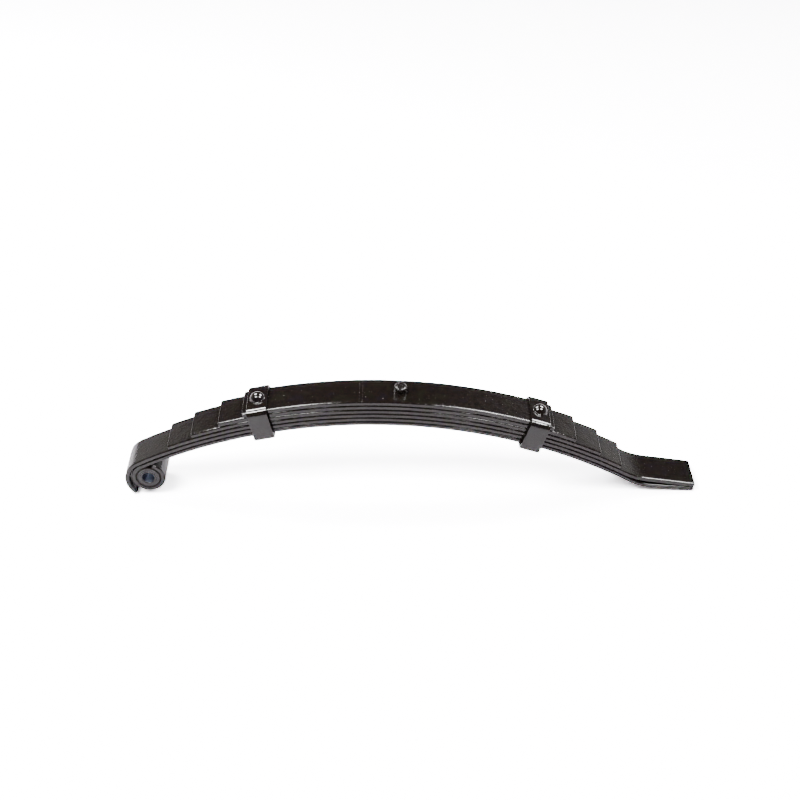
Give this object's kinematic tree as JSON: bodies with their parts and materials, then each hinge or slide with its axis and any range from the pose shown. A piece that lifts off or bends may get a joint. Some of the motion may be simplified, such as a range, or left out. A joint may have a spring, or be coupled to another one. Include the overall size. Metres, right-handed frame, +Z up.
{
  "type": "slipper leaf spring",
  "caption": "Trailer slipper leaf spring: graduated steel leaves with a rolled, bushed eye, a plain slipper tail, a centre bolt and riveted strap clips.",
  "frame": {"origin": "centre of the eye bush bore, half way across the spring", "axes": "+X from the rolled eye to the slipper tail, +Y across the leaves along the eye bore, +Z up with the spring standing on its two ends, arch up"},
  "size_m": [0.7582, 0.062, 0.1607],
  "materials": {
    "leaf_paint": "gloss black over mill scale",
    "strap_paint": "gloss black",
    "fastener_paint": "gloss black",
    "shell_paint": "gloss black",
    "bush_rubber": "satin",
    "sleeve_zinc": "zinc plated"
  },
  "bodies": {
    "leaf_pack": {"main_leaf": "leaf_paint", "wrapper_leaf": "leaf_paint", "third_leaf": "leaf_paint", "fourth_leaf": "leaf_paint", "fifth_leaf": "leaf_paint", "short_leaf": "leaf_paint", "centre_bolt": "fastener_paint", "centre_bolt_nut": "fastener_paint"},
    "eye_arm": {"eye_end_clip": "strap_paint", "eye_end_clip_rivet": "fastener_paint", "bush_outer_shell": "shell_paint", "bush_rubber": "bush_rubber"},
    "slipper_arm": {"slipper_end_clip": "strap_paint", "slipper_end_clip_rivet": "fastener_paint"},
    "bush_sleeve": {"bush_inner_sleeve": "sleeve_zinc"}
  },
  "joints": [
    {"name": "eye_end_flex", "type": "hinge", "parent": "leaf_pack", "child": "eye_arm", "pos_m": [0.24285, 0, 0.10276], "axis": [0, 1, 0], "range_deg": [0, 10], "stiffness_Nm_per_rad": 120, "deforming": ["main_leaf", "wrapper_leaf", "third_leaf", "fourth_leaf", "fifth_leaf", "short_leaf"]},
    {"name": "slipper_end_flex", "type": "hinge", "parent": "leaf_pack", "child": "slipper_arm", "pos_m": [0.42132, 0, 0.0917], "axis": [0, -1, 0], "range_deg": [0, 10], "stiffness_Nm_per_rad": 120},
    {"name": "bush_twist", "type": "hinge", "parent": "eye_arm", "child": "bush_sleeve", "pos_m": [0, 0, 0], "axis": [0, 1, 0], "range_deg": [-15, 15], "stiffness_Nm_per_rad": 6}
  ],
  "couplings": [
    {"joint": "slipper_end_flex", "follows": "eye_end_flex", "ratio": 1}
  ]
}
